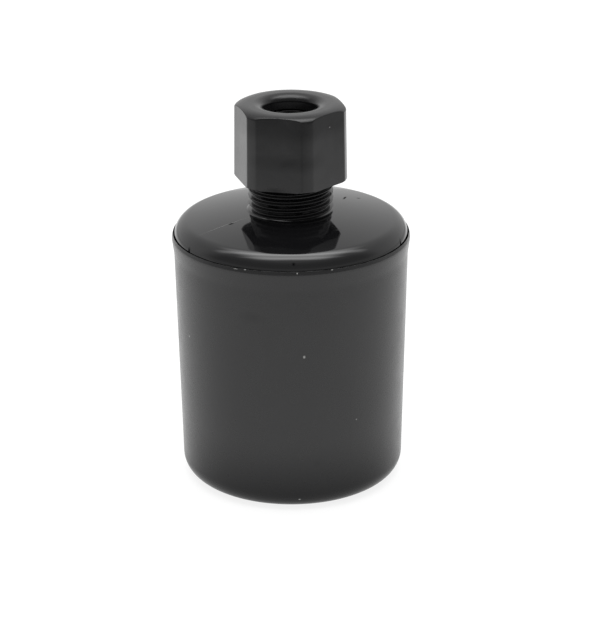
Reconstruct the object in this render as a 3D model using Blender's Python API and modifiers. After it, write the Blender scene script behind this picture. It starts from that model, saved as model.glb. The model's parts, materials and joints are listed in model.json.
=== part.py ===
"""Pneumatic muffler: a canister silencer with a domed cap and a compression-nut tube inlet.

Metres, +Z up. The origin is the centre of the face that the canister stands on, and +Z runs
along the axis of the inlet. Sizes below are in millimetres. A turned piece is drawn as
(radius, height) points, with its heights counted from the level that the piece is placed at.
"""
import bmesh
import bpy
from math import cos, degrees, pi, radians, sin, sqrt, tan
from mathutils import Matrix, Vector

MM = 0.001
MERGE = 0.00001             # merge distance of the turned surfaces, in metres
GAP = 0.3                   # gap kept between neighbouring pieces
BODY_STEPS = 40             # facets round the canister and the cap
NUT_STEPS = 36
RING_STEPS = 24
SHARP_ANGLE = radians(32.0)  # edges sharper than this stay sharp when shaded

# Canister, with heights from its standing face
RIM_Z = 54.6
LIP_R = 25.4                # outer radius of the rim lip
LIP_TOP_R = 25.15           # where the lip's bevelled outer edge starts
LIP_BEVEL_HEIGHT = 0.7
LIP_FACE_HEIGHT = 0.4       # upright face under the bevel
LIP_TAPER_HEIGHT = 1.6      # from there in to the wall
LIP_BORE_R = 25.05          # rebate that the cap sits in
REBATE_DEPTH = 2.2
WALL_TOP_R = 25.0
WALL_BOTTOM_R = 23.8
BOTTOM_EDGE_R = 4.2
INNER_TOP_R = 23.2
INNER_BOTTOM_R = 22.1
INNER_EDGE_R = 2.0
FOOT_HEIGHT = 1.0
FOOT_INNER_R = 18.0
FOOT_DRAFT = 0.4
FLOOR_TOP_Z = 3.2
SLOT_COUNT = 8              # exhaust slots in the floor
SLOT_LENGTH = 9.0
SLOT_WIDTH = 2.4
SLOT_CENTRE_R = 11.0

# Cap, with heights from the rim, as for all that is on the cap
CAP_R = 24.85
SHOULDER_R = 3.6            # rounding of the cap's shoulder
SHOULDER_Z = -0.45          # level at which the shoulder turns vertical
CROWN_SLOPE = radians(12.5)  # slope of the domed crown where it meets the shoulder
CROWN_MIDDLE_R = 15.0       # a ring of points halfway down the crown
CAP_WALL = 1.9
CAP_CORNER_WIDTH = 1.5      # of the thick corner inside the shoulder
FLANGE_BOTTOM_Z = -1.9
SKIRT_OUTER_R = 22.9
SKIRT_INNER_R = 21.5
SKIRT_BOTTOM_Z = -7.5
BOSS_R = 7.9
BOSS_BOTTOM_Z = -6.2
BOSS_SOCKET_R = 5.75
BOSS_CEILING_Z = -0.6
PASSAGE_R = 3.6

# Threaded neck: M18 x 1.5, right-handed
PITCH = 1.5
NECK_TOP_Z = 20.4
NECK_CORE_R = 8.3
NECK_CREST_R = 9.05
NECK_CHAMFER = 0.6
NECK_RIDGE_ROOT = 1.1       # width of the thread's ridge at its root
NECK_RIDGE_CREST = 0.2
THREAD_DATUM_Z = 5.6        # level of the lowest full crest on the -Y side
THREAD_STEPS = 20           # straight stretches in one turn
NECK_THREAD_START = -0.75   # in turns from the datum: here the thread runs out into the crown
NECK_THREAD_TURNS = 10.0
RIDGE_EMBED = 0.45          # how far a ridge reaches into the wall that carries it
TUBE_SOCKET_R = 5.2         # takes a 10 mm tube
TUBE_STOP_Z = 8.6
SEAL_SEAT_Z = 15.8
SEAL_SEAT_R = 6.9

# Compression nut
NUT_TOP_FLATS = 21.95       # across the flats at the top; the sides are drafted
NUT_FOOT_FLATS = 22.45
NUT_TOP_CORNER_R = 11.93    # the corners are turned down to these radii
NUT_FOOT_CORNER_R = 12.2
NUT_CORNER_ANGLE = radians(-73.8)  # direction of one corner, from +X
NUT_BOTTOM_Z = 12.1
NUT_TOP_Z = 28.05
NUT_EDGE_WIDTH = 2.1        # rounded edge round the top face
NUT_EDGE_HEIGHT = 1.3
NUT_FOOT_CHAMFER = 0.2      # height of the 30 degree chamfer under the corners
NUT_BORE_R = 5.25
NUT_MOUTH_R = 7.9           # where the top face starts to curve down into the bore
NUT_MOUTH_CURVE = 5.0
NUT_MOUTH_SLOPE = radians(29.0)  # slope at which that curve tightens into the bore's edge
NUT_SHOULDER_Z = 25.2
NUT_POCKET_R = 7.8          # pocket above the thread that holds the gripping rings
NUT_POCKET_TAPER = 0.6
NUT_ROOT_R = 9.35
NUT_CREST_R = 8.6
NUT_RIDGE_ROOT = 1.28
NUT_RIDGE_CREST = 0.35
NUT_THREAD_TOP_Z = 20.9
NUT_THREAD_START = 4.5      # in turns from the datum
NUT_THREAD_TURNS = 4.7

# Rings round the tube
RING_BORE_R = 5.3
RING_OUTER_R = 7.3
SEAT_PLAY = 0.25            # between a ring and the neck's seat, all round
SEAL_LIFT = 0.1
SEAL_SECTION_R = 0.75
SEAL_CENTRE_R = 6.05
SEAL_WASHER_Z = 17.65
SEAL_WASHER_HEIGHT = 0.8
CONE_FOOT_Z = 18.7
CONE_HEIGHT = 3.1
CONE_SHOULDER_R = 7.5
CONE_SHOULDER_HEIGHT = 0.5
CONE_TOP_R = 6.4
CONE_SLIT_WIDTH = 0.9
GRIP_RING_Z = 22.1
GRIP_RING_THICKNESS = 0.4
GRIP_RING_DISH = 0.35
TOOTH_TIP_R = 5.12
TOOTH_COUNT = 12
NOTCH_R = 0.45
THRUST_RING_Z = 23.1

# Diffuser and packing, with heights from the standing face
TUBE_R = 5.5
TUBE_BORE_R = 4.3
TUBE_BOTTOM_Z = 12.9
TUBE_TOP_Z = 52.7
LINER_R = 13.6
LINER_INNER_R = 12.8
PACK_R = 21.7
PACK_BOTTOM_Z = 10.3
PACK_TOP_Z = 45.1
BAFFLE_THICKNESS = 1.4
FILTER_Z = 5.9
FILTER_THICKNESS = 2.4
RETAINER_Z = 4.3
RETAINER_INNER_R = 18.6
RETAINER_OUTER_R = 20.9
SCREEN_R = 19.9
SCREEN_THICKNESS = 0.5
PAD_THICKNESS = 5.0
PLUG_FLANGE = 0.6           # how far the plug's flange stands out past the tube
PLUG_SPIGOT_LENGTH = 3.6
PLUG_CHAMFER = 0.5
TUBE_HOLES = (18.0, 5.0, 6)  # level of the first row, rise to the next and number of rows
LINER_HOLES = (16.0, 7.6, 4)

# Surface finishes: colour, roughness, metallic
FINISHES = {
    "satin_black_plastic": ((0.022, 0.022, 0.023), 0.45, 0.0),
    "gloss_black_plastic": ((0.018, 0.018, 0.019), 0.2, 0.0),
    "nut_black_plastic": ((0.02, 0.02, 0.021), 0.33, 0.0),
    "black_acetal": ((0.012, 0.012, 0.012), 0.35, 0.0),
    "stainless_steel": ((0.62, 0.62, 0.63), 0.3, 1.0),
    "black_rubber": ((0.02, 0.02, 0.02), 0.7, 0.0),
    "grey_felt": ((0.42, 0.41, 0.39), 0.95, 0.0),
    "aluminium": ((0.75, 0.75, 0.77), 0.35, 1.0),
}


# ---------------------------------------------------------------- scene set-up

def clear_scene():
    for obj in list(bpy.data.objects):
        bpy.data.objects.remove(obj, do_unlink=True)


def new_collection(name):
    collection = bpy.data.collections.new(name)
    bpy.context.scene.collection.children.link(collection)
    return collection


def make_material(name):
    colour, roughness, metallic = FINISHES[name]
    material = bpy.data.materials.new(name)
    material.use_nodes = True
    shader = material.node_tree.nodes["Principled BSDF"]
    shader.inputs["Base Color"].default_value = (*colour, 1.0)
    shader.inputs["Roughness"].default_value = roughness
    shader.inputs["Metallic"].default_value = metallic
    material.diffuse_color = (*colour, 1.0)
    return material


def add_empty(name, level, parent=None):
    """An empty on the Z axis. Its level is counted from its parent's."""
    empty = bpy.data.objects.new(name, None)
    empty.empty_display_size = 10.0 * MM
    empty.location.z = level * MM
    empty.parent = parent
    PARTS.objects.link(empty)
    return empty


def add_object(name, mesh, level, parent, finish):
    obj = bpy.data.objects.new(name, mesh)
    obj.location.z = level * MM
    obj.parent = parent
    if finish:
        mesh.materials.append(MATERIALS[finish])
        PARTS.objects.link(obj)
    else:
        obj.hide_render = True
        obj.display_type = "WIRE"
        CUTTERS.objects.link(obj)
    return obj


# ---------------------------------------------------------------- shape helpers

def arc(centre_r, centre_z, radius, start_deg, end_deg, count):
    """Points of an arc in the profile plane; 0 degrees points outwards and 90 upwards."""
    points = []
    for index in range(count + 1):
        angle = radians(start_deg + (end_deg - start_deg) * index / count)
        points.append((centre_r + radius * cos(angle), centre_z + radius * sin(angle)))
    return points


def turn(name, profile, steps, level, parent, finish):
    """Turns a profile round the Z axis. It runs down its outer side, and closes on itself
    unless both its ends are on the axis."""
    vertices = [(radius * MM, 0.0, height * MM) for radius, height in profile]
    edges = [(index, index + 1) for index in range(len(vertices) - 1)]
    if profile[0][0] > 0.0:
        edges.append((len(vertices) - 1, 0))
    mesh = bpy.data.meshes.new(name)
    mesh.from_pydata(vertices, edges, [])
    obj = add_object(name, mesh, level, parent, finish)
    screw = obj.modifiers.new("turned", "SCREW")
    screw.axis = "Z"
    screw.angle = 2.0 * pi
    screw.steps = steps
    screw.render_steps = steps
    screw.use_merge_vertices = True
    screw.merge_threshold = MERGE
    return obj


def ring(name, inner_r, outer_r, height, level, parent, finish):
    """A plain flat ring or sleeve."""
    profile = [(outer_r, height), (outer_r, 0.0), (inner_r, 0.0), (inner_r, height)]
    return turn(name, profile, RING_STEPS, level, parent, finish)


def disc(name, outer_r, height, level, parent, finish):
    profile = [(0.0, height), (outer_r, height), (outer_r, 0.0), (0.0, 0.0)]
    return turn(name, profile, RING_STEPS, level, parent, finish)


def cutter_from(name, bm, level, parent):
    """A Boolean tool made from a bmesh, which is freed."""
    mesh = bpy.data.meshes.new(name)
    bm.normal_update()
    bm.to_mesh(mesh)
    bm.free()
    return add_object(name, mesh, level, parent, None)


def combine(obj, tool, operation):
    boolean = obj.modifiers.new(tool.name, "BOOLEAN")
    boolean.operation = operation
    boolean.object = tool
    boolean.solver = "EXACT"


def apply_and_smooth():
    """Applies each piece's modifiers and shades its round faces smooth between sharp edges."""
    graph = bpy.context.evaluated_depsgraph_get()
    pieces = [obj for obj in PARTS.objects if obj.type == "MESH"]
    meshes = [bpy.data.meshes.new_from_object(piece.evaluated_get(graph)) for piece in pieces]
    for piece, mesh in zip(pieces, meshes):
        piece.modifiers.clear()
        piece.data = mesh
        mesh.name = piece.name
        mesh.shade_smooth()
        mesh.set_sharp_from_angle(angle=SHARP_ANGLE)


def bars(name, size, centre_r, count, level, parent):
    """A ring of radial bars, as a tool; size is (radial length, width, height)."""
    bm = bmesh.new()
    scale = Matrix.Diagonal((size[0] * MM, size[1] * MM, size[2] * MM, 1.0))
    for index in range(count):
        around = Matrix.Rotation(2.0 * pi * (index + 0.5) / count, 4, "Z")
        outwards = Matrix.Translation((centre_r * MM, 0.0, 0.0))
        bmesh.ops.create_cube(bm, size=1.0, matrix=around @ outwards @ scale)
    return cutter_from(name, bm, level, parent)


def pegs(name, radius, length, circles, level, parent):
    """Upright round pegs, as a tool; circles gives (circle radius, count) pairs."""
    bm = bmesh.new()
    for circle_r, count in circles:
        for index in range(count):
            around = Matrix.Rotation(2.0 * pi * index / count, 4, "Z")
            outwards = Matrix.Translation((circle_r * MM, 0.0, 0.0))
            bmesh.ops.create_cone(bm, cap_ends=True, segments=8, radius1=radius * MM,
                                  radius2=radius * MM, depth=length * MM, matrix=around @ outwards)
    return cutter_from(name, bm, level, parent)


def side_pegs(name, radius, wall_r, rows, count, parent):
    """Level round pegs through a tube's wall, as a tool. They stand in staggered rows, and rows
    gives (level of the first row, rise to the next, number of rows)."""
    first, rise, row_count = rows
    peg_length = 4.0
    lay_flat = Matrix.Rotation(pi / 2, 4, "Y")
    bm = bmesh.new()
    for row in range(row_count):
        height = first + rise * row
        for index in range(count):
            around = Matrix.Rotation(2.0 * pi * (index + 0.5 * (row % 2)) / count, 4, "Z")
            outwards = Matrix.Translation((wall_r * MM, 0.0, height * MM))
            bmesh.ops.create_cone(bm, cap_ends=True, segments=6, radius1=radius * MM,
                                  radius2=radius * MM, depth=peg_length * MM,
                                  matrix=around @ outwards @ lay_flat)
    return cutter_from(name, bm, 0.0, parent)


def helical_ridge(name, wall_r, crest_r, root_width, crest_width, start, turns, lift, parent):
    """A closed helical ridge on a wall, as a tool. It starts a number of turns from the datum,
    and lift raises it to run between the crests of the ridge that it meshes with."""
    buried_r = wall_r + (RIDGE_EMBED if crest_r < wall_r else -RIDGE_EMBED)
    half_root = root_width / 2
    half_crest = crest_width / 2
    section = [
        (buried_r, -half_root), (wall_r, -half_root), (crest_r, -half_crest),
        (crest_r, half_crest), (wall_r, half_root), (buried_r, half_root),
    ]
    start_z = THREAD_DATUM_Z + PITCH * start + lift
    bm = bmesh.new()
    face = bm.faces.new([bm.verts.new((radius * MM, 0.0, (start_z + rise) * MM)) for radius, rise in section])
    steps = round(turns * THREAD_STEPS)
    bmesh.ops.spin(bm, geom=[face, *face.edges, *face.verts], cent=(0.0, 0.0, 0.0), axis=(0.0, 0.0, 1.0),
                   dvec=(0.0, 0.0, PITCH * MM / THREAD_STEPS), angle=2.0 * pi * steps / THREAD_STEPS,
                   steps=steps, use_duplicate=False)
    bmesh.ops.recalc_face_normals(bm, faces=bm.faces)
    ridge = cutter_from(name, bm, 0.0, parent)
    ridge.rotation_euler.z = 2.0 * pi * (start - 0.25)
    return ridge


# ---------------------------------------------------------------- canister

def canister():
    """Drafted cup with a thin rim lip, a rounded bottom edge, a foot ring and exhaust slots."""
    face_foot_z = RIM_Z - LIP_BEVEL_HEIGHT - LIP_FACE_HEIGHT
    profile = [(0.0, FLOOR_TOP_Z)]
    profile += arc(INNER_BOTTOM_R - INNER_EDGE_R, FLOOR_TOP_Z + INNER_EDGE_R, INNER_EDGE_R, -90, 0, 2)
    profile += [
        (INNER_TOP_R, RIM_Z - REBATE_DEPTH),
        (LIP_BORE_R, RIM_Z - REBATE_DEPTH),
        (LIP_BORE_R, RIM_Z),
        (LIP_TOP_R, RIM_Z),
        (LIP_R, RIM_Z - LIP_BEVEL_HEIGHT),
        (LIP_R, face_foot_z),
        (WALL_TOP_R, face_foot_z - LIP_TAPER_HEIGHT),
    ]
    profile += arc(WALL_BOTTOM_R - BOTTOM_EDGE_R, BOTTOM_EDGE_R, BOTTOM_EDGE_R, 0, -90, 4)
    profile += [(FOOT_INNER_R, 0.0), (FOOT_INNER_R - FOOT_DRAFT, FOOT_HEIGHT), (0.0, FOOT_HEIGHT)]
    cup = turn("canister", profile, BODY_STEPS, 0.0, None, "satin_black_plastic")
    slots = bars("exhaust_slots", (SLOT_LENGTH, SLOT_WIDTH, 2 * FLOOR_TOP_Z), SLOT_CENTRE_R, SLOT_COUNT,
                 (FOOT_HEIGHT + FLOOR_TOP_Z) / 2, None)
    combine(cup, slots, "DIFFERENCE")


# ---------------------------------------------------------------- cap and neck

def crown_height(radius, depth=0.0):
    """Height of the crown's sphere at a radius, or of its underside at a depth."""
    contact_r = CAP_R - SHOULDER_R + SHOULDER_R * sin(CROWN_SLOPE)
    contact_z = SHOULDER_Z + SHOULDER_R * cos(CROWN_SLOPE)
    sphere_r = contact_r / sin(CROWN_SLOPE)
    centre_z = contact_z - sphere_r * cos(CROWN_SLOPE)
    return centre_z + sqrt((sphere_r - depth) ** 2 - radius ** 2)


def cap_profile():
    shoulder_r = CAP_R - SHOULDER_R
    corner_r = shoulder_r - CAP_CORNER_WIDTH
    profile = [
        (NECK_CORE_R - NECK_CHAMFER, NECK_TOP_Z),
        (NECK_CORE_R, NECK_TOP_Z - NECK_CHAMFER),
        (NECK_CORE_R, crown_height(NECK_CORE_R)),
        (CROWN_MIDDLE_R, crown_height(CROWN_MIDDLE_R)),
    ]
    profile += arc(shoulder_r, SHOULDER_Z, SHOULDER_R, 90.0 - degrees(CROWN_SLOPE), 0, 5)
    profile += [
        (CAP_R, FLANGE_BOTTOM_Z),
        (SKIRT_OUTER_R, FLANGE_BOTTOM_Z),
        (SKIRT_OUTER_R, SKIRT_BOTTOM_Z),
        (SKIRT_INNER_R, SKIRT_BOTTOM_Z),
        (SKIRT_INNER_R, SHOULDER_Z),
        (corner_r, crown_height(corner_r, CAP_WALL)),
        (BOSS_R, crown_height(BOSS_R, CAP_WALL)),
        (BOSS_R, BOSS_BOTTOM_Z),
        (BOSS_SOCKET_R, BOSS_BOTTOM_Z),
        (BOSS_SOCKET_R, BOSS_CEILING_Z),
        (PASSAGE_R, BOSS_CEILING_Z),
        (PASSAGE_R, TUBE_STOP_Z),
        (TUBE_SOCKET_R, TUBE_STOP_Z),
        (TUBE_SOCKET_R, SEAL_SEAT_Z),
        (SEAL_SEAT_R, SEAL_SEAT_Z),
        (SEAL_SEAT_R, NECK_TOP_Z),
    ]
    return profile


def cap(head):
    """Domed lid with a skirt, a boss for the diffuser tube and a threaded neck."""
    lid = turn("cap", cap_profile(), BODY_STEPS, 0.0, head, "gloss_black_plastic")
    ridge = helical_ridge("neck_thread_ridge", NECK_CORE_R, NECK_CREST_R, NECK_RIDGE_ROOT, NECK_RIDGE_CREST,
                          NECK_THREAD_START, NECK_THREAD_TURNS, 0.0, head)
    combine(lid, ridge, "UNION")


# ---------------------------------------------------------------- compression nut

def nut_profile():
    """Envelope of the nut before its flats are cut, with its stepped bore and curved mouth."""
    profile = []
    for point in arc(0.0, 0.0, 1.0, 90, 0, 4):
        profile.append((NUT_TOP_CORNER_R - NUT_EDGE_WIDTH * (1.0 - point[0]),
                        NUT_TOP_Z - NUT_EDGE_HEIGHT * (1.0 - point[1])))
    profile += [
        (NUT_FOOT_CORNER_R, NUT_BOTTOM_Z + NUT_FOOT_CHAMFER),
        (NUT_FOOT_CORNER_R - NUT_FOOT_CHAMFER / tan(radians(30.0)), NUT_BOTTOM_Z),
        (NUT_ROOT_R, NUT_BOTTOM_Z),
        (NUT_ROOT_R, NUT_THREAD_TOP_Z),
        (NUT_POCKET_R, NUT_THREAD_TOP_Z + NUT_POCKET_TAPER),
        (NUT_POCKET_R, NUT_SHOULDER_Z),
        (NUT_BORE_R, NUT_SHOULDER_Z),
    ]
    slope_deg = 90.0 + degrees(NUT_MOUTH_SLOPE)
    mouth = arc(NUT_MOUTH_R, NUT_TOP_Z - NUT_MOUTH_CURVE, NUT_MOUTH_CURVE, slope_deg, 90, 3)
    edge_r = (mouth[0][0] - NUT_BORE_R) / (1.0 - sin(NUT_MOUTH_SLOPE))
    edge_z = mouth[0][1] - edge_r * cos(NUT_MOUTH_SLOPE)
    profile += arc(NUT_BORE_R + edge_r, edge_z, edge_r, 180, slope_deg, 2)[:-1] + mouth
    return profile


def compression_nut(nut_turn):
    """Hexagonal nut with turned corners, an inner thread and a rounded mouth."""
    nut = turn("compression_nut", nut_profile(), NUT_STEPS, 0.0, nut_turn, "nut_black_plastic")
    nut.rotation_euler.z = NUT_CORNER_ANGLE
    combine(nut, hexagon(nut_turn), "INTERSECT")
    ridge = helical_ridge("nut_thread_ridge", NUT_ROOT_R, NUT_CREST_R, NUT_RIDGE_ROOT, NUT_RIDGE_CREST,
                          NUT_THREAD_START, NUT_THREAD_TURNS, PITCH / 2, nut_turn)
    combine(nut, ridge, "UNION")


def hexagon(nut_turn):
    """Hexagonal bar with the nut's drafted flats, longer than the nut at both ends, as a tool."""
    height = NUT_TOP_Z - NUT_BOTTOM_Z
    overrun = 4.0
    widening = (NUT_FOOT_FLATS - NUT_TOP_FLATS) * overrun / height
    foot_r = (NUT_FOOT_FLATS + widening) / 2 / cos(pi / 6)
    top_r = (NUT_TOP_FLATS - widening) / 2 / cos(pi / 6)
    bm = bmesh.new()
    bmesh.ops.create_cone(bm, cap_ends=True, segments=6, radius1=foot_r * MM, radius2=top_r * MM,
                          depth=(height + 2 * overrun) * MM)
    bar = cutter_from("nut_hexagon", bm, (NUT_BOTTOM_Z + NUT_TOP_Z) / 2, nut_turn)
    bar.rotation_euler.z = NUT_CORNER_ANGLE - pi / 6
    return bar


# ---------------------------------------------------------------- tube seal and grip

def tube_seal(head):
    """O-ring that seals on the tube, in the neck's mouth."""
    section = arc(SEAL_CENTRE_R, SEAL_SECTION_R, SEAL_SECTION_R, 90, -270, 8)[:-1]
    turn("tube_seal", section, RING_STEPS, SEAL_SEAT_Z + SEAL_LIFT, head, "black_rubber")


def clamp_cone(head):
    """Split tapered collet: its foot sits in the neck and its shoulder is squeezed by the nut."""
    foot_r = SEAL_SEAT_R - SEAT_PLAY
    shoulder_z = NECK_TOP_Z - CONE_FOOT_Z + GAP
    profile = [
        (CONE_TOP_R, CONE_HEIGHT),
        (CONE_SHOULDER_R, shoulder_z + CONE_SHOULDER_HEIGHT),
        (CONE_SHOULDER_R, shoulder_z),
        (foot_r, shoulder_z),
        (foot_r, 0.0),
        (RING_BORE_R, 0.0),
        (RING_BORE_R, CONE_HEIGHT),
    ]
    cone = turn("clamp_cone", profile, RING_STEPS, CONE_FOOT_Z, head, "black_acetal")
    slit = bars("clamp_cone_slit", (RING_OUTER_R, CONE_SLIT_WIDTH, 2 * CONE_HEIGHT), RING_OUTER_R, 1,
                CONE_FOOT_Z + CONE_HEIGHT / 2, head)
    combine(cone, slit, "DIFFERENCE")


def grip_ring(nut_travel):
    """Thin dished steel ring, notched into teeth that bite the tube."""
    profile = [
        (RING_OUTER_R, GRIP_RING_THICKNESS),
        (RING_OUTER_R, 0.0),
        (TOOTH_TIP_R, GRIP_RING_DISH),
        (TOOTH_TIP_R, GRIP_RING_DISH + GRIP_RING_THICKNESS),
    ]
    toothed = turn("grip_ring", profile, RING_STEPS, GRIP_RING_Z, nut_travel, "stainless_steel")
    notches = pegs("grip_ring_notches", NOTCH_R, 3.0, [(TOOTH_TIP_R + 0.8 * NOTCH_R, TOOTH_COUNT)],
                   GRIP_RING_Z + GRIP_RING_DISH, nut_travel)
    combine(toothed, notches, "DIFFERENCE")


def tube_rings(head, nut_travel):
    tube_seal(head)
    ring("seal_washer", RING_BORE_R, SEAL_SEAT_R - SEAT_PLAY, SEAL_WASHER_HEIGHT, SEAL_WASHER_Z,
         head, "black_acetal")
    clamp_cone(head)
    grip_ring(nut_travel)
    ring("thrust_ring", RING_BORE_R, RING_OUTER_R, NUT_SHOULDER_Z - GAP - THRUST_RING_Z, THRUST_RING_Z,
         nut_travel, "black_acetal")


# ---------------------------------------------------------------- diffuser

def diffuser_tube():
    """Perforated tube that hangs in the cap's boss, with a gasket above it."""
    length = TUBE_TOP_Z - TUBE_BOTTOM_Z
    tube = ring("diffuser_tube", TUBE_BORE_R, TUBE_R, length, TUBE_BOTTOM_Z, None, "aluminium")
    combine(tube, side_pegs("diffuser_tube_holes", 1.1, TUBE_R, TUBE_HOLES, 4, None), "DIFFERENCE")
    gasket_z = TUBE_TOP_Z + GAP
    ring("diffuser_gasket", PASSAGE_R + 0.4, TUBE_R, RIM_Z + BOSS_CEILING_Z - GAP - gasket_z, gasket_z,
         None, "black_rubber")


def diffuser_plug():
    """Stepped plug that closes the diffuser tube and stands on the lower baffle."""
    flange_r = TUBE_R + PLUG_FLANGE
    flange_height = TUBE_BOTTOM_Z - GAP - PACK_BOTTOM_Z
    spigot_r = TUBE_BORE_R - GAP
    spigot_top = flange_height + PLUG_SPIGOT_LENGTH
    profile = [
        (0.0, spigot_top),
        (spigot_r - PLUG_CHAMFER, spigot_top),
        (spigot_r, spigot_top - PLUG_CHAMFER),
        (spigot_r, flange_height),
        (flange_r, flange_height),
        (flange_r, 0.0),
        (0.0, 0.0),
    ]
    turn("diffuser_plug", profile, RING_STEPS, PACK_BOTTOM_Z, None, "black_acetal")


def perforated_liner():
    """Perforated sleeve between the inner and outer felts."""
    height = PACK_TOP_Z - PACK_BOTTOM_Z
    liner = ring("perforated_liner", LINER_INNER_R, LINER_R, height, PACK_BOTTOM_Z, None, "aluminium")
    combine(liner, side_pegs("perforated_liner_holes", 1.5, LINER_R, LINER_HOLES, 6, None), "DIFFERENCE")


# ---------------------------------------------------------------- packing and exhaust end

def felt_packing():
    """Felt sleeve round the tube, and a stack of felt rings round the liner."""
    ring("inner_felt_sleeve", TUBE_R + GAP, LINER_INNER_R - GAP, PACK_TOP_Z - TUBE_BOTTOM_Z, TUBE_BOTTOM_Z,
         None, "grey_felt")
    names = ("outer_felt_ring_lower", "outer_felt_ring_middle", "outer_felt_ring_upper")
    pitch = (PACK_TOP_Z - PACK_BOTTOM_Z + GAP) / len(names)
    for index, name in enumerate(names):
        ring(name, LINER_R + GAP, PACK_R, pitch - GAP, PACK_BOTTOM_Z + pitch * index, None, "grey_felt")


def baffles():
    """Upper plate that the cap's skirt presses on the packing, and lower plate that carries it."""
    upper_z = PACK_TOP_Z + GAP
    ring("upper_baffle", TUBE_R + 0.4, PACK_R + 0.4, BAFFLE_THICKNESS, upper_z, None, "aluminium")
    pad_z = upper_z + BAFFLE_THICKNESS + GAP
    ring("upper_felt_pad", BOSS_R + GAP, SKIRT_INNER_R - GAP, PAD_THICKNESS, pad_z, None, "grey_felt")
    lower_z = PACK_BOTTOM_Z - GAP - BAFFLE_THICKNESS
    plate = disc("lower_baffle", PACK_R - 0.1, BAFFLE_THICKNESS, lower_z, None, "aluminium")
    combine(plate, pegs("lower_baffle_holes", 1.5, 6.0, [(17.0, 12)], lower_z, None), "DIFFERENCE")


def exhaust_end():
    """Felt filter and perforated screen over the exhaust slots, with the ring that holds them."""
    disc("exhaust_filter", PACK_R - GAP, FILTER_THICKNESS, FILTER_Z, None, "grey_felt")
    ring("screen_retainer", RETAINER_INNER_R, RETAINER_OUTER_R, FILTER_Z - GAP - RETAINER_Z, RETAINER_Z,
         None, "black_acetal")
    screen_z = FLOOR_TOP_Z + GAP
    screen = disc("exhaust_screen", SCREEN_R, SCREEN_THICKNESS, screen_z, None, "stainless_steel")
    holes = pegs("exhaust_screen_holes", 1.1, 4.0, [(15.0, 12), (9.0, 8)], screen_z, None)
    combine(screen, holes, "DIFFERENCE")


# ---------------------------------------------------------------- assembly

def build():
    """The head is the cap with all that is on it. The two inner empties are on the nut's axis:
    nut_travel slides up the neck, and nut_turn, which it carries, also turns."""
    head = add_empty("head", RIM_Z)
    nut_travel = add_empty("nut_travel", 0.0, head)
    nut_turn = add_empty("nut_turn", 0.0, nut_travel)
    canister()
    cap(head)
    compression_nut(nut_turn)
    tube_rings(head, nut_travel)
    diffuser_tube()
    diffuser_plug()
    perforated_liner()
    felt_packing()
    baffles()
    exhaust_end()
    apply_and_smooth()


clear_scene()
PARTS = new_collection("pneumatic_muffler")
CUTTERS = new_collection("cutters")
MATERIALS = {name: make_material(name) for name in FINISHES}
build()
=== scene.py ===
"""Looks of the pneumatic muffler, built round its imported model.

The scene is in metres, +Z up. The sizes below are in millimetres. Heights on the cap, the neck and
the nut are counted from the canister's rim, and other heights from the standing face.
"""
import json
from math import acos, atan2, ceil, cos, degrees, floor, pi, radians, sin, tan

import bmesh
import bpy
import numpy as np
from mathutils import Matrix, Vector


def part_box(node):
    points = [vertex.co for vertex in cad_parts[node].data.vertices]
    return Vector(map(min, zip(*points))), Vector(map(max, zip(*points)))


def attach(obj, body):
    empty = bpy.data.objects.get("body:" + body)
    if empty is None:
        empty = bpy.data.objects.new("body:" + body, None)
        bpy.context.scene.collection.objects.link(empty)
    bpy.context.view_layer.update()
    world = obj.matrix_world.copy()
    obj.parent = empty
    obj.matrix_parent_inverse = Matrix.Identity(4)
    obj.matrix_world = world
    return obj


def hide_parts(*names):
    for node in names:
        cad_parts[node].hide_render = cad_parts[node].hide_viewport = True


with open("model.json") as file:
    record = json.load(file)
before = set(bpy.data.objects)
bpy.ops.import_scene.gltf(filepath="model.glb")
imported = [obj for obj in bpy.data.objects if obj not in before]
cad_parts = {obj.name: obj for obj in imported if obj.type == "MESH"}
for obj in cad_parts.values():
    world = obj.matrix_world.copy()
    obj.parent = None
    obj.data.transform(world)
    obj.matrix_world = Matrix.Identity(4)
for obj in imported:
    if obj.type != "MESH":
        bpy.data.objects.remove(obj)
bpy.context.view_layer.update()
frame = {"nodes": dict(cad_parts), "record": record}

MM = 0.001
WELD = 4e-6                 # metres: points of one skin closer than this are one point


def cad_size(node):
    """Outer radius, lowest and highest level of a CAD node, in millimetres."""
    low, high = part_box(node)
    return high.x / MM, low.z / MM, high.z / MM


# Canister
_, _, RIM = cad_size("canister")
LIP_R = 25.33
LIP_BORE_R = 25.05
LIP_TOP_R = 25.12
LIP_BEVEL_HEIGHT = 0.7
LIP_FACE_HEIGHT = 0.4
LIP_TAPER_HEIGHT = 3.2
REBATE_DEPTH = 2.2
WALL_TOP_R = 24.9
WALL_BOTTOM_R = 23.8
BOTTOM_EDGE_R = 4.2
INNER_TOP_R = 23.2
INNER_BOTTOM_R = 22.1
FLOOR_TOP = 3.2
FOOT_HEIGHT = 1.0
FOOT_INNER_R = 18.0
FOOT_DRAFT = 0.4
SLOT_COUNT = 8
SLOT_LENGTH = 9.0
SLOT_WIDTH = 2.4
SLOT_R = 11.0
SLOT_OVERRUN = 1.0          # how far the tool for the slots runs past the floor
RAGGED_DEPTH = 0.5          # the rim's inner edge is uneven down to this depth
RAGGED_BURR = 0.12          # furthest inwards
RAGGED_CUT = 0.05           # furthest outwards
RAGGED_WORST = radians(-55.0)
RAGGED_WORST_SPREAD = radians(14.0)
RAGGED_WAVES = (            # waves round the rim, phase in radians, size
    (19, 0.4, 0.02),
    (34, 1.9, 0.03),
    (57, 4.4, 0.03),
    (83, 2.7, 0.025),
)

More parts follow.
